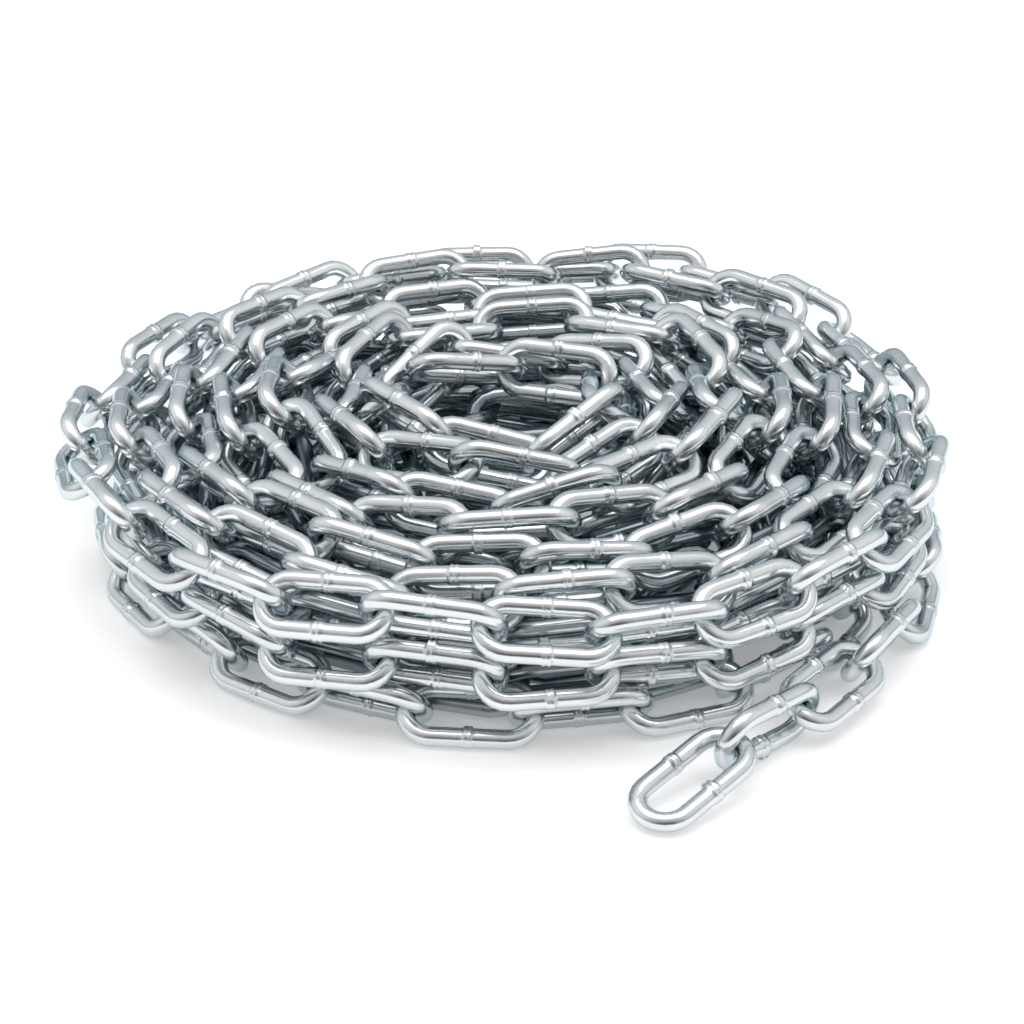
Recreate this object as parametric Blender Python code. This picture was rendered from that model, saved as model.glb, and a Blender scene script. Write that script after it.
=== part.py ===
"""A round coil of welded steel chain, with a loose end lying beside it.

The chain runs from its loose end at the front right into the bottom layer, winds in to the eye, out again
through the middle layer and in once more over the top. Metres, +Z up, origin on the floor under the coil.
"""

import math

import bmesh
import bpy
import numpy as np
from mathutils import Matrix, Vector

# Link
WIRE = 0.006
PITCH = 0.034
LINK_WIDTH = 3.7 * WIRE
CROWN_R = (LINK_WIDTH - WIRE) / 2
CROWN_APART = PITCH + WIRE - 2 * CROWN_R
LINK_REACH = PITCH + 2 * WIRE

# Coil
RIMS = (0.1405, 0.1445, 0.1430)
EYES = (0.0300, 0.0300, 0.0295)
TURN_STEP = 0.0169
LAYER_STEP = 0.0170
EYE_SHIFTS = (0.0, 0.0, 0.012)
TOP_STAYS_OUT = 0.45
START_ANGLE = math.radians(14)
CLIMB = 0.1

# Loose end, from its last link to the coil
TAIL = [
    (0.0373, -0.1804),
    (0.0635, -0.1560),
    (0.0864, -0.1312),
    (0.1068, -0.1034),
    (0.1232, -0.0700),
    (0.1354, -0.0354),
    (0.1415, 0.0000),
]
TAIL_ROLLS = (9, 104, 26, 122, 40)

# How the links lie
HOOKED = 0.99 * WIRE
CLEAR = 1.16 * WIRE
LEAN = math.radians(38)
LEAN_SPREAD = math.radians(10)
SEED = 11

# Simple solids
SIDES = 6
CROWN_CUTS = 3
TUBE_R = 0.525 * WIRE
FUSED = 0.84 * WIRE
APART = 1.12 * WIRE
TAIL_APART = 1.06 * WIRE
LINKS_A_LENGTH = 6
SLIT = 0.0004
SHOWN_TURN = 1.1
CORE_STEPS = 60
CORE_RINGS = 24
GROOVE = 0.009
EYE_WALL = 0.011
ZINC = (0.62, 0.65, 0.68, 1.0)


def unit(v):
    """Vectors of length one."""
    return v / np.maximum(np.linalg.norm(v, axis=-1, keepdims=True), 1e-12)


def spiral(start, layer, inwards, stay=0.0):
    """Route of one layer, wound in from its rim or out to it, and the angle where it ends.

    It keeps to the rim for the first part of a turn that stay gives.
    """
    rim = RIMS[layer]
    across = rim - EYES[layer]
    turns = across / TURN_STEP + stay
    u = np.linspace(0, turns, int(turns * 600))
    inset = np.maximum((u if inwards else turns - u) - stay, 0) * TURN_STEP
    angle = start + 2 * math.pi * u
    x = (rim - inset) * np.cos(angle)
    y = (rim - inset) * np.sin(angle) + EYE_SHIFTS[layer] * inset / across
    return np.column_stack([x, y, np.full(len(u), (layer + 0.5) * LAYER_STEP)]), angle[-1]


def smooth_through(points, per=60):
    """A smooth curve through the given points."""
    p = np.vstack([2 * points[0] - points[1], points, 2 * points[-1] - points[-2]])
    t = np.linspace(0, 1, per, endpoint=False)[:, None]
    runs = [
        0.5 * (2 * b + (c - a) * t + (2 * a - 5 * b + 4 * c - d) * t**2 + (3 * b - a - 3 * c + d) * t**3)
        for a, b, c, d in zip(p, p[1:], p[2:], p[3:])
    ]
    return np.vstack(runs + [p[-2:-1]])


def route():
    """The line that the whole chain follows, a point every millimetre, and where its stretches begin and end."""
    low, angle = spiral(START_ANGLE, 0, True)
    middle, angle = spiral(angle, 1, False)
    top, angle = spiral(angle, 2, True, TOP_STAYS_OUT)
    tail = np.array([(x, y, low[0, 2]) for x, y in TAIL])
    lead = smooth_through(np.vstack([tail, low[:1]]))
    path = np.vstack([lead[:-1], low, middle[1:], top[1:]])
    run = np.concatenate([[0], np.cumsum(np.linalg.norm(np.diff(path[:, :2], axis=0), axis=1))])
    turn = int(600 * SHOWN_TURN)
    ends = np.cumsum([len(lead) - 1, turn, len(low) - turn + len(middle) - turn, turn])
    marks = np.append(run[ends], run[-1]) / 0.001
    at = np.linspace(0, run[-1], int(run[-1] / 0.001))
    path = np.column_stack([np.interp(at, run, path[:, k]) for k in range(3)])
    half = int(CLIMB / 0.002)
    spread = np.ones(2 * half + 1) / (2 * half + 1)
    path[:, 2] = np.convolve(np.pad(path[:, 2], half, mode="edge"), spread, mode="valid")
    return path, marks


def joints_along(path, step):
    """Points a fixed straight distance apart along the route, and how far along it they are."""
    joints = [path[0]]
    places = [0]
    while True:
        at = places[-1]
        away = np.linalg.norm(path[at : at + 400] - joints[-1], axis=1)
        past = np.nonzero(away >= step)[0]
        if len(past) == 0:
            return np.array(joints), np.array(places)
        k = past[0]
        share = (step - away[k - 1]) / (away[k] - away[k - 1])
        joints.append(path[at + k - 1] + (path[at + k] - path[at + k - 1]) * share)
        places.append(at + k)


def across_vectors(along, rolls):
    """The direction from bar to bar of each link."""
    side = unit(np.cross([0, 0, 1.0], along))
    up = np.cross(along, side)
    return side * np.cos(rolls)[:, None] + up * np.sin(rolls)[:, None]


def crowns(joints, rolls):
    """Centres of each link's head and foot crown, its direction and its vector across.

    Two hooked crowns touch where both are square to the line that halves the bend between their links.
    """
    along = unit(np.diff(joints, axis=0))
    bend = unit(np.vstack([along[:1], along[1:] + along[:-1], along[-1:]]))
    for _ in range(2):
        normal = np.cross(along, across_vectors(along, rolls))
        to_head = unit(bend[1:] - (bend[1:] * normal).sum(1, keepdims=True) * normal)
        to_foot = unit(bend[:-1] - (bend[:-1] * normal).sum(1, keepdims=True) * normal)
        head = joints[1:] + bend[1:] * HOOKED / 2 - CROWN_R * to_head
        foot = joints[:-1] - bend[:-1] * HOOKED / 2 + CROWN_R * to_foot
        along = unit(head - foot)
    return head, foot, along, across_vectors(along, rolls)


def outline():
    """Corners of a link's centre line, from the head's crown round to the foot's."""
    turn = (np.arange(CROWN_CUTS + 1) / CROWN_CUTS - 0.5) * math.pi
    reach = CROWN_R / math.cos(math.pi / 2 / CROWN_CUTS)
    half = np.stack([reach * np.cos(turn), np.clip(reach * np.sin(turn), -CROWN_R, CROWN_R)], axis=1)
    return np.vstack([half, -half])


def corners(head, foot, along, across):
    """The outline of every link, placed."""
    shape = outline()
    count = len(shape) // 2
    centre = np.concatenate([np.repeat(head[:, None], count, 1), np.repeat(foot[:, None], count, 1)], axis=1)
    return centre + shape[None, :, :1] * along[:, None] + shape[None, :, 1:] * across[:, None]


def nearest_points(p1, q1, p2, q2):
    """The nearest points of two straight pieces, for arrays of pieces."""
    d1, d2, r = q1 - p1, q2 - p2, p1 - p2
    a, e, f = (d1 * d1).sum(-1), (d2 * d2).sum(-1), (d2 * r).sum(-1)
    c, b = (d1 * r).sum(-1), (d1 * d2).sum(-1)
    square = a * e - b * b
    apart = square > 1e-16
    s = np.where(apart, np.clip((b * f - c * e) / np.where(apart, square, 1), 0, 1), 0.5)
    t = np.clip((b * s + f) / e, 0, 1)
    s = np.clip((b * t - c) / a, 0, 1)
    return p1 + d1 * s[..., None], p2 + d2 * t[..., None]


def gaps(points, pairs):
    """For each pair of links, the distance between their centre lines and the two points that have it."""
    i, j = pairs.T
    ends = np.roll(points, -1, axis=1)
    x, y = nearest_points(points[i][:, :, None], ends[i][:, :, None], points[j][:, None], ends[j][:, None])
    distance = np.linalg.norm(y - x, axis=-1).reshape(len(i), -1)
    k = distance.argmin(1)
    rows = np.arange(len(i))
    return distance[rows, k], x.reshape(len(i), -1, 3)[rows, k], y.reshape(len(i), -1, 3)[rows, k]


def pairs_near(centres, within):
    """Pairs of links that aren't hooked together and lie near each other."""
    away = np.linalg.norm(centres[:, None] - centres[None], axis=2)
    i, j = np.nonzero(np.triu(away < within, 2))
    return np.stack([i, j], axis=1)


def ease_apart(joints, rolls, rounds, sink=0.0, hold=0.0):
    """Moves the joints until no two links share any space, with every link at its length and above the floor."""
    joints = joints.copy()
    planned = joints.copy()
    for n in range(rounds):
        joints[:, 2] -= sink
        joints[:, :2] += hold * (planned[:, :2] - joints[:, :2])
        head, foot, along, across = crowns(joints, rolls)
        points = corners(head, foot, along, across)
        if n % 8 == 0:
            every = pairs_near((head + foot) / 2, LINK_REACH + WIRE)
            active = every[gaps(points, every)[0] < CLEAR + 0.7 * WIRE]
        distance, x, y = gaps(points, active)
        bad = distance < CLEAR
        push = unit(y[bad] - x[bad]) * (CLEAR - distance[bad])[:, None] * 0.5
        move = np.zeros_like(joints)
        weight = np.ones(len(joints))
        total = np.zeros(len(joints))
        for link, point, sign in ((active[bad, 0], x[bad], -1), (active[bad, 1], y[bad], 1)):
            line = joints[link + 1] - joints[link]
            t = np.clip(((point - joints[link]) * line).sum(1) / (line * line).sum(1), 0, 1)
            share = t * t + (1 - t) ** 2
            for end, part in ((link, 1 - t), (link + 1, t)):
                np.add.at(move, end, sign * push * (part / share)[:, None])
                np.add.at(total, end, part)
        joints += move / np.maximum(total, weight)[:, None]
        for _ in range(3):
            head, foot, along, across = crowns(joints, rolls)
            stretch = np.linalg.norm(head - foot, axis=1) - CROWN_APART
            pull = 0.4 * along * stretch[:, None]
            joints[:-1] += pull
            joints[1:] -= pull
        sunk = np.maximum(WIRE / 2 - corners(*crowns(joints, rolls))[:, :, 2].min(1), 0)
        lift = np.zeros(len(joints))
        np.maximum.at(lift, np.arange(len(sunk)), sunk)
        np.maximum.at(lift, np.arange(1, len(sunk) + 1), sunk)
        joints[:, 2] += lift
    return joints


def lay_chain():
    """Joints and rolls of the whole chain as it lies, and the first link of each stretch."""
    path, marks = route()
    joints, places = joints_along(path, PITCH + WIRE - HOOKED)
    count = len(joints) - 1
    chance = np.random.default_rng(SEED)
    odd = np.arange(count) % 2
    rolls = LEAN + math.pi / 2 * odd + chance.uniform(-LEAN_SPREAD, LEAN_SPREAD, count)
    rolls[: len(TAIL_ROLLS)] = np.radians(TAIL_ROLLS)
    joints = ease_apart(joints, rolls, 240, sink=0.00003, hold=0.01)
    joints = ease_apart(joints, rolls, 140)
    return joints, rolls, np.searchsorted(places[:-1], marks)


def seat_crowns(head, foot, along, across, fused, tail):
    """Slides the crowns along their links until each hooked pair is fused, or clear, as the solids need."""
    head, foot = head.copy(), foot.copy()
    hooked = np.stack([np.arange(len(head) - 1), np.arange(1, len(head))], axis=1)
    wanted = np.where(fused, FUSED, APART)
    wanted[:tail] = TAIL_APART
    for _ in range(12):
        distance = gaps(corners(head, foot, along, across), hooked)[0]
        slide = ((wanted - distance) / 2)[:, None]
        head[:-1] += slide * along[:-1]
        foot[1:] -= slide * along[1:]
    return corners(head, foot, along, across)


def zinc(name):
    """Bright zinc plate on steel."""
    material = bpy.data.materials.new(name)
    material.use_nodes = True
    surface = material.node_tree.nodes["Principled BSDF"]
    surface.inputs["Base Color"].default_value = ZINC
    surface.inputs["Metallic"].default_value = 1.0
    surface.inputs["Roughness"].default_value = 0.28
    return material


def add_link(bm, points):
    """One link swept round its outline, its section turned so that a flat faces the link's middle."""
    count = len(points)
    before = unit(points - np.roll(points, 1, axis=0))
    after = unit(np.roll(points, -1, axis=0) - points)
    tangent = unit(before + after)
    normal = unit(np.cross(before[0], after[0]))
    outward = np.cross(tangent, normal)
    stretch = 1 / (before * tangent).sum(1)
    rings = []
    for k in range(count):
        axes = [outward[k] * stretch[k], normal, tangent[k], points[k]]
        place = Matrix([[float(axis[row]) for axis in axes] for row in range(3)] + [[0, 0, 0, 1]])
        made = bmesh.ops.create_circle(bm, segments=SIDES, radius=TUBE_R, matrix=place)["verts"]
        rings.append({edge for vert in made for edge in vert.link_edges})
    for k in range(count):
        bmesh.ops.bridge_loops(bm, edges=list(rings[k] | rings[(k + 1) % count]))


def add_object(name, bm, parent):
    """A named object with its own material, smooth round the wire."""
    bmesh.ops.recalc_face_normals(bm, faces=bm.faces)
    mesh = bpy.data.meshes.new(name)
    bm.to_mesh(mesh)
    bm.free()
    mesh.materials.append(zinc(name))
    mesh.shade_smooth()
    mesh.set_sharp_from_angle(angle=math.radians(70))
    made = bpy.data.objects.new(name, mesh)
    made.parent = parent
    bpy.context.collection.objects.link(made)
    return made


def add_length(name, points, first, last, parent):
    """A length of chain as one solid: every second link, joined to the links between them."""
    halves = []
    for start in (first, first + 1):
        bm = bmesh.new()
        for link in range(start, last, 2):
            add_link(bm, points[link])
        halves.append(bm)
    made = add_object(name, halves[0], parent)
    if last - first == 1:
        halves[1].free()
        return
    between = add_object(name + "_between", halves[1], parent)
    between.hide_render = True
    between.display_type = "WIRE"
    join = made.modifiers.new("Join the links between", "BOOLEAN")
    join.operation = "UNION"
    join.solver = "EXACT"
    join.object = between
    fill_pockets(made)
    bpy.data.objects.remove(between)


def fill_pockets(made):
    """Applies the modifier, and fills the few pockets that two crowns close off where they cross at a sharp bend."""
    whole = bpy.data.meshes.new_from_object(made.evaluated_get(bpy.context.evaluated_depsgraph_get()))
    bm = bmesh.new()
    bm.from_mesh(whole)
    left = set(bm.verts)
    while left:
        island, edge = set(), {left.pop()}
        while edge:
            island |= edge
            edge = {end for vert in edge for link in vert.link_edges for end in link.verts} - island
        left -= island
        if len(island) < 30:
            bmesh.ops.delete(bm, geom=list(island), context="VERTS")
    bm.to_mesh(whole)
    bm.free()
    made.modifiers.clear()
    made.data = whole


def inner_radius(points, low, high):
    """How far out from the middle a solid may reach between two heights, every few degrees round."""
    ends = np.roll(points, -1, axis=1)
    share = np.linspace(0, 1, 12)[:, None, None, None]
    samples = (points + (ends - points) * share).reshape(-1, 3)
    samples = samples[(samples[:, 2] > low - 1.3 * TUBE_R) & (samples[:, 2] < high + 1.3 * TUBE_R)]
    radius = np.hypot(samples[:, 0], samples[:, 1])
    angle = np.arctan2(samples[:, 1], samples[:, 0])
    steps = np.arange(CORE_STEPS) * 2 * math.pi / CORE_STEPS
    reach = []
    for step in steps:
        off = np.abs((angle - step + math.pi) % (2 * math.pi) - math.pi)
        reach.append(radius[off < 2 * math.pi / CORE_STEPS].min())
    return np.array(reach) - 1.17 * TUBE_R - SLIT


def core_height(radius, angle, roof):
    """Top of the core: a groove between every two turns of the middle layer, and the open eye inside them."""
    turns = [(rim - eye) / TURN_STEP for rim, eye in zip(RIMS, EYES)]
    wound = turns[0] + turns[1] + (START_ANGLE - angle) / (2 * math.pi)
    ridge = 0.5 + 0.5 * math.cos(2 * math.pi * ((radius - RIMS[1]) / TURN_STEP + wound))
    top = roof - GROOVE * (1 - ridge)
    wall = min(max((radius - EYES[1] + EYE_WALL) / 0.003, 0), 1)
    return LAYER_STEP + (top - LAYER_STEP) * wall


def add_core(points, top_first, parent):
    """The plain solid that stands for the turns nobody sees, flat on the floor and under the top layer."""
    top = points[top_first:]
    inside = np.hypot(*top.mean(axis=1)[:, :2].T) < RIMS[2] - 2 * TURN_STEP
    roof = top[inside][:, :, 2].min() - 1.2 * TUBE_R - SLIT
    bands = [(0.0, LAYER_STEP - SLIT), (LAYER_STEP + SLIT, roof)]
    bm = bmesh.new()
    rings = []
    for low, high in bands:
        reach = inner_radius(points, low, high)
        for height in (low, high):
            ring = bmesh.ops.create_circle(bm, segments=CORE_STEPS, radius=1.0)["verts"]
            for step, vert in enumerate(ring):
                angle = 2 * math.pi * step / CORE_STEPS
                vert.co = Vector((reach[step] * math.cos(angle), reach[step] * math.sin(angle), height))
            rings.append(ring)
    for share in np.linspace(1, 0, CORE_RINGS + 2)[:-1]:
        ring = bmesh.ops.create_circle(bm, segments=CORE_STEPS, radius=1.0)["verts"]
        for step, vert in enumerate(ring):
            angle = 2 * math.pi * step / CORE_STEPS
            radius = (reach[step] - SLIT) * share
            height = core_height(radius, angle, roof)
            vert.co = Vector((radius * math.cos(angle), radius * math.sin(angle), height))
        rings.append(ring)
    edges = [{edge for vert in ring for edge in vert.link_edges} for ring in rings]
    bmesh.ops.contextual_create(bm, geom=list(edges[0]))
    bmesh.ops.contextual_create(bm, geom=list(edges[-1]))
    for lower, upper in zip(edges, edges[1:]):
        bmesh.ops.bridge_loops(bm, edges=list(lower | upper))
    add_object("hidden_turns", bm, parent)


def stretches(starts, count):
    """Name, first link and link after the last of every solid."""
    tail, low, middle, top = starts[:4]
    found = [("end_link", 0, 1)] + [(f"tail_link_{k + 1}", k, k + 1) for k in range(1, tail)]
    for name, first, last in (("bottom_turn", tail, low), ("middle_turn", middle, top), ("top_layer", top, count)):
        parts = round((last - first) / LINKS_A_LENGTH)
        cuts = np.linspace(first, last, parts + 1).round().astype(int)
        found += [(f"{name}_{k + 1:02d}", int(a), int(b)) for k, (a, b) in enumerate(zip(cuts, cuts[1:]))]
    return found


def main():
    for old in list(bpy.data.objects):
        bpy.data.objects.remove(old)
    coil = bpy.data.objects.new("coil", None)
    bpy.context.collection.objects.link(coil)
    joints, rolls, starts = lay_chain()
    head, foot, along, across = crowns(joints, rolls)
    solids = stretches(starts, len(rolls))
    fused = np.zeros(len(rolls) - 1, dtype=bool)
    for _, first, last in solids:
        fused[first : last - 1] = True
    points = seat_crowns(head, foot, along, across, fused, starts[0])
    shown = np.zeros(len(rolls), dtype=bool)
    for name, first, last in solids:
        shown[first:last] = True
        add_length(name, points, first, last, coil)
    add_core(points[shown], np.count_nonzero(shown[: starts[3]]), coil)


main()
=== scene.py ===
# %% [markdown]
# # A coiled length of steel chain
#
# One long piece of welded, zinc-plated chain has been laid by hand as a round flat coil, and its
# loose end lies on the floor at the front. Everything here is one shape, the link, said hundreds
# of times. So the lesson has two halves: where each link lies, and what one link looks like.

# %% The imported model
import math

import bmesh
import bpy
import numpy as np
from mathutils import Matrix, Vector


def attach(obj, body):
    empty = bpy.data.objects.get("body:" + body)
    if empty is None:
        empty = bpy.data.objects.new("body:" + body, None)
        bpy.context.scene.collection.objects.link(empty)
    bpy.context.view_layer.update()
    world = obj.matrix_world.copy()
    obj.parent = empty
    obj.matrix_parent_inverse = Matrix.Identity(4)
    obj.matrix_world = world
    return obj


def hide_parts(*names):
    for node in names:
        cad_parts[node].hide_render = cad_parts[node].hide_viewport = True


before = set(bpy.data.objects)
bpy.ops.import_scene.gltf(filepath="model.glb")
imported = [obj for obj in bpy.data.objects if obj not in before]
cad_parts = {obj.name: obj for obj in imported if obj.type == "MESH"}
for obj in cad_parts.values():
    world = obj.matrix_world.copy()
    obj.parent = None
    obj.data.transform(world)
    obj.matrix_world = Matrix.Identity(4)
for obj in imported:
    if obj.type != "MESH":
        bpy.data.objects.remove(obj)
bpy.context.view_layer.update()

print("solids in the frame:", len(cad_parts))

# %% [markdown]
# ## The measures of a link
#
# Welded chain is bent from round wire. The wire's diameter fixes the rest: the inside length, or
# pitch, and the outside width are stated as multiples of it. A link is two straight bars and two
# half-round crowns.

# %% Link measures
WIRE = 0.006
PITCH = 0.034
LINK_WIDTH = 3.7 * WIRE
CROWN_R = (LINK_WIDTH - WIRE) / 2
CROWN_APART = PITCH + WIRE - 2 * CROWN_R
LINK_REACH = PITCH + 2 * WIRE
CROWN_CUTS = 3
print("a link is", round(LINK_REACH * 1000, 1), "mm long and", round(LINK_WIDTH * 1000, 1), "mm wide")

# %% [markdown]
# ## The route of the chain
#
# Whoever laid the coil began at the outside, wound in to the middle, wound out again on top of
# that, and in once more. Each layer is therefore a spiral. The loose end is drawn by a few points
# that a smooth curve runs through. All four stretches become one line, and the step up from
# layer to layer is smoothed over a hand's breadth of chain.

# %% Coil measures
RIMS = (0.1405, 0.1445, 0.1430)
EYES = (0.0300, 0.0300, 0.0295)
TURN_STEP = 0.0169
LAYER_STEP = 0.0170
EYE_SHIFTS = (0.0, 0.0, 0.012)
TOP_STAYS_OUT = 0.45
START_ANGLE = math.radians(14)
CLIMB = 0.1
SHOWN_TURN = 1.1
TAIL = [
    (0.0373, -0.1804),
    (0.0635, -0.1560),
    (0.0864, -0.1312),
    (0.1068, -0.1034),
    (0.1232, -0.0700),
    (0.1354, -0.0354),
    (0.1415, 0.0000),
]
TAIL_ROLLS = (9, 104, 26, 122, 40)
print("layers:", len(RIMS), "points in the loose end:", len(TAIL))

# %% Spirals and the line through all of them
def unit(v):
    """Vectors of length one."""
    return v / np.maximum(np.linalg.norm(v, axis=-1, keepdims=True), 1e-12)


def spiral(start, layer, inwards, stay=0.0):
    """Route of one layer, wound in from its rim or out to it, and the angle where it ends.

    It keeps to the rim for the first part of a turn that stay gives.
    """
    rim = RIMS[layer]
    across = rim - EYES[layer]
    turns = across / TURN_STEP + stay
    u = np.linspace(0, turns, int(turns * 600))
    inset = np.maximum((u if inwards else turns - u) - stay, 0) * TURN_STEP
    angle = start + 2 * math.pi * u
    x = (rim - inset) * np.cos(angle)
    y = (rim - inset) * np.sin(angle) + EYE_SHIFTS[layer] * inset / across
    return np.column_stack([x, y, np.full(len(u), (layer + 0.5) * LAYER_STEP)]), angle[-1]


def smooth_through(points, per=60):
    """A smooth curve through the given points."""
    p = np.vstack([2 * points[0] - points[1], points, 2 * points[-1] - points[-2]])
    t = np.linspace(0, 1, per, endpoint=False)[:, None]
    runs = [
        0.5 * (2 * b + (c - a) * t + (2 * a - 5 * b + 4 * c - d) * t**2 + (3 * b - a - 3 * c + d) * t**3)
        for a, b, c, d in zip(p, p[1:], p[2:], p[3:])
    ]
    return np.vstack(runs + [p[-2:-1]])


def route():
    """The line that the whole chain follows, a point every millimetre, and where its stretches begin and end."""
    low, angle = spiral(START_ANGLE, 0, True)
    middle, angle = spiral(angle, 1, False)
    top, angle = spiral(angle, 2, True, TOP_STAYS_OUT)
    tail = np.array([(x, y, low[0, 2]) for x, y in TAIL])
    lead = smooth_through(np.vstack([tail, low[:1]]))
    path = np.vstack([lead[:-1], low, middle[1:], top[1:]])
    run = np.concatenate([[0], np.cumsum(np.linalg.norm(np.diff(path[:, :2], axis=0), axis=1))])
    turn = int(600 * SHOWN_TURN)
    ends = np.cumsum([len(lead) - 1, turn, len(low) - turn + len(middle) - turn, turn])
    marks = np.append(run[ends], run[-1]) / 0.001
    at = np.linspace(0, run[-1], int(run[-1] / 0.001))
    path = np.column_stack([np.interp(at, run, path[:, k]) for k in range(3)])
    half = int(CLIMB / 0.002)
    spread = np.ones(2 * half + 1) / (2 * half + 1)
    path[:, 2] = np.convolve(np.pad(path[:, 2], half, mode="edge"), spread, mode="valid")
    return path, marks


path, marks = route()
print("length of the route:", round(len(path) / 1000, 2), "m")

# %% [markdown]
# ## Links on the route
#
# A chain can't follow a curve smoothly. It turns only where two links hook together, so the route
# is walked in steps of one link. A link has two more things to choose: each is turned a quarter
# round from its neighbours, and the whole row leans, because a chain that is laid down doesn't
# balance on the edge of every second link.

# %% How the links lie
HOOKED = 0.99 * WIRE
CLEAR = 1.16 * WIRE
LEAN = math.radians(38)
LEAN_SPREAD = math.radians(10)
SEED = 11
print("lean:", round(math.degrees(LEAN)), "degrees")


def joints_along(path, step):
    """Points a fixed straight distance apart along the route, and how far along it they are."""
    joints = [path[0]]
    places = [0]
    while True:
        at = places[-1]
        away = np.linalg.norm(path[at : at + 400] - joints[-1], axis=1)
        past = np.nonzero(away >= step)[0]
        if len(past) == 0:
            return np.array(joints), np.array(places)
        k = past[0]
        share = (step - away[k - 1]) / (away[k] - away[k - 1])
        joints.append(path[at + k - 1] + (path[at + k] - path[at + k - 1]) * share)
        places.append(at + k)


# %% [markdown]
# ## Where two crowns touch
#
# Two hooked links touch at one point inside their crowns. When the chain bends there, the point
# slides round both crowns. The function below finds the crown's centre from the joint, and leaves
# a link rigid: both its crowns stay a fixed distance apart.

# %% Crowns from joints
def across_vectors(along, rolls):
    """The direction from bar to bar of each link."""
    side = unit(np.cross([0, 0, 1.0], along))
    up = np.cross(along, side)
    return side * np.cos(rolls)[:, None] + up * np.sin(rolls)[:, None]


def crowns(joints, rolls):
    """Centres of each link's head and foot crown, its direction and its vector across.

    Two hooked crowns touch where both are square to the line that halves the bend between their links.
    """
    along = unit(np.diff(joints, axis=0))
    bend = unit(np.vstack([along[:1], along[1:] + along[:-1], along[-1:]]))
    for _ in range(2):
        normal = np.cross(along, across_vectors(along, rolls))
        to_head = unit(bend[1:] - (bend[1:] * normal).sum(1, keepdims=True) * normal)
        to_foot = unit(bend[:-1] - (bend[:-1] * normal).sum(1, keepdims=True) * normal)
        head = joints[1:] + bend[1:] * HOOKED / 2 - CROWN_R * to_head
        foot = joints[:-1] - bend[:-1] * HOOKED / 2 + CROWN_R * to_foot
        along = unit(head - foot)
    return head, foot, along, across_vectors(along, rolls)


def outline():
    """Corners of a link's centre line, from the head's crown round to the foot's."""
    turn = (np.arange(CROWN_CUTS + 1) / CROWN_CUTS - 0.5) * math.pi
    reach = CROWN_R / math.cos(math.pi / 2 / CROWN_CUTS)
    half = np.stack([reach * np.cos(turn), np.clip(reach * np.sin(turn), -CROWN_R, CROWN_R)], axis=1)
    return np.vstack([half, -half])


def corners(head, foot, along, across):
    """The outline of every link, placed."""
    shape = outline()
    count = len(shape) // 2
    centre = np.concatenate([np.repeat(head[:, None], count, 1), np.repeat(foot[:, None], count, 1)], axis=1)
    return centre + shape[None, :, :1] * along[:, None] + shape[None, :, 1:] * across[:, None]


def nearest_points(p1, q1, p2, q2):
    """The nearest points of two straight pieces, for arrays of pieces."""
    d1, d2, r = q1 - p1, q2 - p2, p1 - p2
    a, e, f = (d1 * d1).sum(-1), (d2 * d2).sum(-1), (d2 * r).sum(-1)
    c, b = (d1 * r).sum(-1), (d1 * d2).sum(-1)
    square = a * e - b * b
    apart = square > 1e-16
    s = np.where(apart, np.clip((b * f - c * e) / np.where(apart, square, 1), 0, 1), 0.5)
    t = np.clip((b * s + f) / e, 0, 1)
    s = np.clip((b * t - c) / a, 0, 1)
    return p1 + d1 * s[..., None], p2 + d2 * t[..., None]


def gaps(points, pairs):
    """For each pair of links, the distance between their centre lines and the two points that have it."""
    i, j = pairs.T
    ends = np.roll(points, -1, axis=1)
    x, y = nearest_points(points[i][:, :, None], ends[i][:, :, None], points[j][:, None], ends[j][:, None])
    distance = np.linalg.norm(y - x, axis=-1).reshape(len(i), -1)
    k = distance.argmin(1)
    rows = np.arange(len(i))
    return distance[rows, k], x.reshape(len(i), -1, 3)[rows, k], y.reshape(len(i), -1, 3)[rows, k]


def pairs_near(centres, within):
    """Pairs of links that aren't hooked together and lie near each other."""
    away = np.linalg.norm(centres[:, None] - centres[None], axis=2)
    i, j = np.nonzero(np.triu(away < within, 2))
    return np.stack([i, j], axis=1)


# %% [markdown]
# ## Settling
#
# Links laid on an ideal line would run through each other where turns lie close. Real links
# shoulder each other aside. The next function does the same in many small rounds: it finds the
# nearest points of every two neighbouring links, pushes them apart, restores the links' length
# and lifts what went below the floor.

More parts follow.
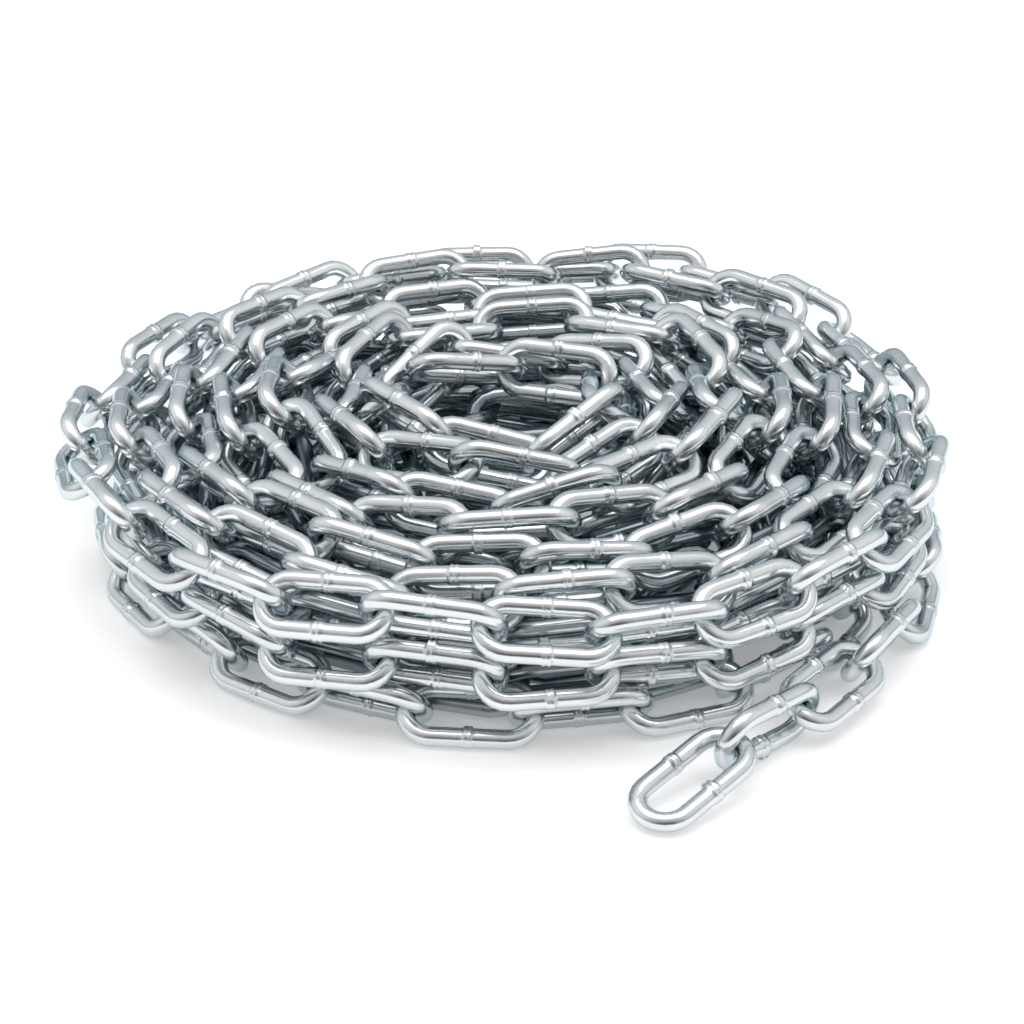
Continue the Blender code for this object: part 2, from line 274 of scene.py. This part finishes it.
# %% Ease the links apart
def ease_apart(joints, rolls, rounds, sink=0.0, hold=0.0):
    """Moves the joints until no two links share any space, with every link at its length and above the floor."""
    joints = joints.copy()
    planned = joints.copy()
    for n in range(rounds):
        joints[:, 2] -= sink
        joints[:, :2] += hold * (planned[:, :2] - joints[:, :2])
        head, foot, along, across = crowns(joints, rolls)
        points = corners(head, foot, along, across)
        if n % 8 == 0:
            every = pairs_near((head + foot) / 2, LINK_REACH + WIRE)
            active = every[gaps(points, every)[0] < CLEAR + 0.7 * WIRE]
        distance, x, y = gaps(points, active)
        bad = distance < CLEAR
        push = unit(y[bad] - x[bad]) * (CLEAR - distance[bad])[:, None] * 0.5
        move = np.zeros_like(joints)
        weight = np.ones(len(joints))
        total = np.zeros(len(joints))
        for link, point, sign in ((active[bad, 0], x[bad], -1), (active[bad, 1], y[bad], 1)):
            line = joints[link + 1] - joints[link]
            t = np.clip(((point - joints[link]) * line).sum(1) / (line * line).sum(1), 0, 1)
            share = t * t + (1 - t) ** 2
            for end, part in ((link, 1 - t), (link + 1, t)):
                np.add.at(move, end, sign * push * (part / share)[:, None])
                np.add.at(total, end, part)
        joints += move / np.maximum(total, weight)[:, None]
        for _ in range(3):
            head, foot, along, across = crowns(joints, rolls)
            stretch = np.linalg.norm(head - foot, axis=1) - CROWN_APART
            pull = 0.4 * along * stretch[:, None]
            joints[:-1] += pull
            joints[1:] -= pull
        sunk = np.maximum(WIRE / 2 - corners(*crowns(joints, rolls))[:, :, 2].min(1), 0)
        lift = np.zeros(len(joints))
        np.maximum.at(lift, np.arange(len(sunk)), sunk)
        np.maximum.at(lift, np.arange(1, len(sunk) + 1), sunk)
        joints[:, 2] += lift
    return joints


def lay_chain():
    """Joints and rolls of the whole chain as it lies, and the first link of each stretch."""
    path, marks = route()
    joints, places = joints_along(path, PITCH + WIRE - HOOKED)
    count = len(joints) - 1
    chance = np.random.default_rng(SEED)
    odd = np.arange(count) % 2
    rolls = LEAN + math.pi / 2 * odd + chance.uniform(-LEAN_SPREAD, LEAN_SPREAD, count)
    rolls[: len(TAIL_ROLLS)] = np.radians(TAIL_ROLLS)
    joints = ease_apart(joints, rolls, 240, sink=0.00003, hold=0.01)
    joints = ease_apart(joints, rolls, 140)
    return joints, rolls, np.searchsorted(places[:-1], marks)


joints, rolls, starts = lay_chain()
head, foot, along, across = crowns(joints, rolls)
count = len(rolls)
print(count, "links; stretches begin at", starts.tolist())

# %% [markdown]
# ## One link
#
# A link starts as a straight piece of wire. It is bent round, and its ends are welded where they
# meet, in the middle of a bar. On this chain both bars show a swollen ring there, a little uneven,
# with a bead or two of metal that the weld squeezed out. The model is made as the wire is: a
# circle is set at every station along the centre line, turned square to it, and each circle is
# bridged to the next. Where the weld is, the circles are pushed out of round.

# %% A circle at each station
COLLAR = (
    (-9, 0.0),
    (-2.4, 0.0),
    (-1.6, 0.06),
    (-1.15, 0.34),
    (-0.6, 0.36),
    (0.0, 0.14),
    (0.6, 0.36),
    (1.15, 0.32),
    (1.6, 0.05),
    (2.4, 0.0),
    (9, 0.0),
)
BEAD = 0.0007


def stations(crown_cuts, welded):
    """Places along a link's centre line: point, heading, and how far the weld stands out there."""
    found = []
    half = CROWN_APART / 2
    for turn in (0.0, math.pi):
        for step in range(crown_cuts + 1):
            angle = turn - math.pi / 2 + math.pi * step / crown_cuts
            x = math.copysign(half, math.cos(turn)) + CROWN_R * math.cos(angle)
            found.append((x, CROWN_R * math.sin(angle), angle + math.pi / 2, 0.0))
        side = math.copysign(CROWN_R, math.cos(turn))
        for along_bar, proud in COLLAR if welded else ((0.0, 0.0),):
            x = -0.001 * along_bar * math.cos(turn)
            found.append((x, side, turn + math.pi, proud * 0.001))
    return found


def link_mesh(name, sides, crown_cuts, welded, chance):
    """A link in its own axes: length along X, width along Y."""
    bm = bmesh.new()
    weld = bm.verts.layers.float.new("weld")
    rings = []
    bead_at = chance.uniform(0, 2 * math.pi, 2)
    for x, y, heading, proud in stations(crown_cuts, welded):
        place = Matrix.Translation((x, y, 0)) @ Matrix.Rotation(heading, 4, "Z") @ Matrix.Rotation(math.pi / 2, 4, "Y")
        ring = bmesh.ops.create_circle(bm, segments=sides, radius=WIRE / 2, matrix=place)["verts"]
        centre = Vector((x, y, 0))
        for k, vert in enumerate(ring):
            vert[weld] = min(proud / 0.0003, 1.0)
            if proud > 0:
                away = (vert.co - centre).normalized()
                angle = 2 * math.pi * k / sides
                bead = max(0.0, math.cos(angle - bead_at[int(y > 0)])) ** 8 * BEAD
                vert.co += away * (proud * chance.uniform(0.5, 1.25) + bead * (proud > 0.0001))
        rings.append({edge for vert in ring for edge in vert.link_edges})
    for k, ring in enumerate(rings):
        bmesh.ops.bridge_loops(bm, edges=list(ring | rings[(k + 1) % len(rings)]))
    bmesh.ops.recalc_face_normals(bm, faces=bm.faces)
    mesh = bpy.data.meshes.new(name)
    bm.to_mesh(mesh)
    bm.free()
    mesh.shade_smooth()
    mesh.attributes.new("tone", "FLOAT", "POINT")
    return mesh


chance = np.random.default_rng(3)
shown_links = [link_mesh(f"welded_link_{k}", 14, 11, True, chance) for k in range(4)]
plain_link = link_mesh("plain_link", 8, 6, False, chance)
print("faces of a welded link:", len(shown_links[0].polygons), "and of a plain one:", len(plain_link.polygons))

# %% [markdown]
# ## Laying the links
#
# Every link is a copy of one of these meshes, turned and moved to its place, and the copies of
# one stretch are joined to one mesh. Links may be turned over end for end, which hides that there
# are only four of them. Each copy also carries a number of its own, its tone, which the zinc
# finish reads later, so that no two links shine quite alike. A second number tells how deep in
# the coil a point lies. Down there the finish darkens the zinc: painted shade for the dark gaps
# between the lower, inner turns.

# %% How deep a point lies
# Painted shade lies below this height and inside this radius, fading in over FADE.
PAINTED_SHADE_BELOW = 0.050
PAINTED_SHADE_WITHIN = 0.132
FADE = 0.018


def depth_in_coil(points):
    """0 where the coil lies open, 1 deep in it where the finish paints shade, for an array of points."""
    under = np.clip((PAINTED_SHADE_BELOW - points[:, 2]) / FADE, 0, 1)
    within = np.clip((PAINTED_SHADE_WITHIN - np.hypot(points[:, 0], points[:, 1])) / FADE, 0, 1)
    return under * within


# The width of the painted shade's soft edge.
print("painted_shading fades in over", FADE * 1000, "mm")

# %% Copies joined to stretches


def lay_links(name, first, last, meshes, nodes):
    """The links of one stretch as one piece, standing for the solids named."""
    bm = bmesh.new()
    for link in range(first, last):
        mesh = meshes[chance.integers(len(meshes))].copy()
        mesh.attributes["tone"].data.foreach_set("value", np.full(len(mesh.vertices), chance.uniform(0, 1), np.float32))
        flip, over = chance.choice((-1, 1), 2)
        x_axis, y_axis = along[link] * flip, across[link] * over
        z_axis = np.cross(x_axis, y_axis)
        centre = (head[link] + foot[link]) / 2
        columns = [x_axis, y_axis, z_axis, centre]
        mesh.transform(Matrix([[float(c[row]) for c in columns] for row in range(3)] + [[0, 0, 0, 1]]))
        bm.from_mesh(mesh)
        bpy.data.meshes.remove(mesh)
    joined = bpy.data.meshes.new(name)
    bm.to_mesh(joined)
    bm.free()
    points = np.empty(len(joined.vertices) * 3, np.float32)
    joined.vertices.foreach_get("co", points)
    # Each point's depth in the coil, which the zinc finish turns into painted shade.
    oiled = joined.attributes.new("oiled", "FLOAT", "POINT")
    oiled.data.foreach_set("value", depth_in_coil(points.reshape(-1, 3)).astype(np.float32))
    piece = bpy.data.objects.new(name, joined)
    bpy.context.collection.objects.link(piece)
    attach(piece, "root")
    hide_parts(*nodes)
    print(name, "has", last - first, "links")
    return piece


def nodes_named(start):
    return sorted(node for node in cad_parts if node.startswith(start))


tail, low, middle, top = (int(n) for n in starts[:4])
pieces = [
    lay_links("last_link", 0, 1, shown_links, ["end_link"]),
    lay_links("loose_end_links", 1, tail, shown_links, nodes_named("tail_link")),
    lay_links("foot_links", tail, low, shown_links, nodes_named("bottom_turn")),
    lay_links("inner_links", low, middle, [plain_link], ["hidden_turns"]),
    lay_links("wall_links", middle, top, shown_links, nodes_named("middle_turn")),
    lay_links("top_links", top, count, shown_links, nodes_named("top_layer")),
]

# %% [markdown]
# ## The finish
#
# The steel is plated with bright zinc. It is a mirror that has been handled: still glossy, but
# with soft grey clouds, a faint ripple from the plating bath, and duller, rougher metal at the
# welds. The colour barely changes over a link. What makes it look like metal is that everything
# else, roughness and ripple, changes a little all the time.
#
# Node trees are long-winded in Python. The class below wraps an output socket, so that sums on
# it add the Math nodes by themselves.

# %% Sums on sockets


class Flow:
    """A number or colour flowing out of a node. Sums on it add Math nodes."""

    def __init__(self, finish, socket):
        self.finish, self.socket = finish, socket

    def sum_of(self, operation, first, second):
        return self.finish.node("ShaderNodeMath", {"operation": operation}, {0: first, 1: second})

    def __add__(self, other):
        return self.sum_of("ADD", self, other)

    def __sub__(self, other):
        return self.sum_of("SUBTRACT", self, other)

    def __rsub__(self, other):
        return self.sum_of("SUBTRACT", other, self)

    def __mul__(self, other):
        return self.sum_of("MULTIPLY", self, other)

    __radd__ = __add__
    __rmul__ = __mul__


class Finish:
    """A node tree in the making."""

    def __init__(self, owner):
        owner.use_nodes = True
        self.tree = owner.node_tree
        self.tree.nodes.clear()

    def node(self, kind, settings=None, values=None, output=0):
        """Any node: its settings first, then the values or flows of its sockets."""
        made = self.tree.nodes.new(kind)
        for name, setting in (settings or {}).items():
            if name == "stops":
                for spare in list(made.color_ramp.elements)[1:]:
                    made.color_ramp.elements.remove(spare)
                made.color_ramp.elements[0].position = setting[0][0]
                made.color_ramp.elements[0].color = setting[0][1]
                for place, colour in setting[1:]:
                    made.color_ramp.elements.new(place).color = colour
            else:
                setattr(made, name, setting)
        for name, value in (values or {}).items():
            if isinstance(value, Flow):
                self.tree.links.new(value.socket, made.inputs[name])
            else:
                made.inputs[name].default_value = value
        return Flow(self, made.outputs[output]) if len(made.outputs) else None


print("helpers ready")

# %% Bright zinc
zinc = bpy.data.materials.new("bright_zinc")
finish = Finish(zinc)
place = finish.node("ShaderNodeTexCoord", output=3)
tone = finish.node("ShaderNodeAttribute", {"attribute_name": "tone"}, output=2)
weld = finish.node("ShaderNodeAttribute", {"attribute_name": "weld"}, output=2)
oiled = finish.node("ShaderNodeAttribute", {"attribute_name": "oiled"}, output=2)
clouds = finish.node("ShaderNodeTexNoise", values={"Vector": place, "Scale": 90.0, "Detail": 4.0, "Roughness": 0.6})
specks = finish.node("ShaderNodeTexNoise", values={"Vector": place, "Scale": 900.0, "Detail": 3.0, "Roughness": 0.6})
ripple = finish.node("ShaderNodeTexNoise", values={"Vector": place, "Scale": 320.0, "Detail": 2.0, "Roughness": 0.5})

dull = clouds * 0.45 + tone * 0.25 + specks * 0.3
base = finish.node(
    "ShaderNodeValToRGB",
    {"stops": [(0.25, (0.62, 0.655, 0.67, 1)), (0.5, (0.71, 0.735, 0.745, 1)), (0.75, (0.78, 0.80, 0.81, 1))]},
    {"Fac": dull},
)
# Painted shade: the base colour is multiplied towards dark teal where the coil is deep, standing in for the shadow
# between the lower turns.
metal = finish.node(
    "ShaderNodeMix",
    {"data_type": "RGBA", "blend_type": "MULTIPLY"},
    {"Factor": oiled, 6: base, 7: (0.38, 0.44, 0.47, 1)},
    output=2,
)
rough = dull * 0.20 + 0.11 + weld * 0.08 + oiled * 0.06
height = ripple * 0.6 + specks * 0.25 + weld * specks * 2.0
bump = finish.node("ShaderNodeBump", values={"Height": height, "Strength": 0.28, "Distance": 0.00012})
surface = finish.node(
    "ShaderNodeBsdfPrincipled",
    values={
        "Base Color": metal,
        "Metallic": 1.0,
        "Roughness": rough,
        "Specular Tint": (0.74, 0.88, 0.93, 1),
        "Normal": bump,
    },
)
finish.node("ShaderNodeOutputMaterial", values={"Surface": surface})
for piece in pieces:
    piece.data.materials.append(zinc)
print("nodes in the zinc finish:", len(finish.tree.nodes))

# %% [markdown]
# ## Floor, light and camera
#
# The object lies on a sheet of white acrylic, lit a little from below so that shadows stay faint,
# and almost pure white. Polished metal
# has no look of its own: it shows its surroundings, so these are laid out like a photographer's
# table. One large softbox hangs overhead. The room behind is light grey, and the side where the
# viewer stands is darker. On a bar that lies across the view these become, from top to bottom,
# a grey edge, a white band, a fall to a thin dark line, and the white floor again.

# %% Floor
floor_bm = bmesh.new()
bmesh.ops.create_grid(floor_bm, x_segments=1, y_segments=1, size=8.0)
floor_mesh = bpy.data.meshes.new("floor")
floor_bm.to_mesh(floor_mesh)
floor_bm.free()
floor = bpy.data.objects.new("floor", floor_mesh)
bpy.context.collection.objects.link(floor)
acrylic = bpy.data.materials.new("white_acrylic")
finish = Finish(acrylic)
matt = finish.node(
    "ShaderNodeBsdfPrincipled",
    values={
        "Base Color": (0.93, 0.93, 0.93, 1),
        "Roughness": 0.9,
        "Specular IOR Level": 0.1,
        "Emission Color": (1, 1, 1, 1),
        "Emission Strength": 0.27,
    },
)
finish.node("ShaderNodeOutputMaterial", values={"Surface": matt})
floor_mesh.materials.append(acrylic)
print("floor laid")

# %% The room
world = bpy.data.worlds.new("studio")
bpy.context.scene.world = world
finish = Finish(world)
direction = finish.node("ShaderNodeTexCoord")
split = finish.node("ShaderNodeSeparateXYZ", values={"Vector": direction})
up = Flow(finish, split.socket.node.outputs["Z"])
back = Flow(finish, split.socket.node.outputs["Y"])
ROOM = [
    (0.00, (0.11, 0.11, 0.11, 1)),
    (0.03, (0.15, 0.15, 0.15, 1)),
    (0.10, (0.44, 0.44, 0.44, 1)),
    (0.25, (0.80, 0.80, 0.80, 1)),
    (0.50, (1.00, 1.00, 1.00, 1)),
    (0.70, (0.86, 0.87, 0.88, 1)),
    (1.00, (0.56, 0.58, 0.60, 1)),
]
grade = finish.node("ShaderNodeValToRGB", {"stops": ROOM}, {"Fac": back * 0.5 + 0.5})
low_dark = finish.node(
    "ShaderNodeMapRange",
    {"interpolation_type": "SMOOTHSTEP"},
    {"Value": up, "From Min": 0.0, "From Max": 0.4, "To Min": 0.6, "To Max": 1.0},
)
room = finish.node("ShaderNodeBackground", values={"Color": grade, "Strength": low_dark})
finish.node("ShaderNodeOutputWorld", values={"Surface": room})
print("nodes in the room:", len(finish.tree.nodes))

# %% Softbox


def softbox(name, place, aim, width, depth, watts):
    """A large area light."""
    light = bpy.data.lights.new(name, "AREA")
    light.shape, light.size, light.size_y, light.energy = "RECTANGLE", width, depth, watts
    lamp = bpy.data.objects.new(name, light)
    lamp.location = place
    lamp.rotation_euler = (Vector(aim) - Vector(place)).to_track_quat("-Z", "Y").to_euler()
    bpy.context.collection.objects.link(lamp)
    return lamp


softbox("overhead_softbox", (0.0, -0.13, 2.6), (0, -0.13, 0), 3.0, 1.9, 29.0)
print("lights:", [light.name for light in bpy.data.lights])

# %% Camera
ELEVATION = math.radians(26.5)
DISTANCE = 0.92
FOCAL_PIXELS = 2655
TARGET = Vector((0, 0, 0.026))
camera = bpy.data.cameras.new("camera")
camera.sensor_width = 36
camera.lens = FOCAL_PIXELS * 36 / 1024
camera.shift_y = -38 / 1024
eye = bpy.data.objects.new("camera", camera)
eye.location = TARGET + DISTANCE * Vector((0, -math.cos(ELEVATION), math.sin(ELEVATION)))
eye.rotation_euler = (math.pi / 2 - ELEVATION, 0, 0)
bpy.context.collection.objects.link(eye)
bpy.context.scene.camera = eye
bpy.context.scene.view_settings.view_transform = "Standard"
print("camera", [round(c, 3) for c in eye.location])
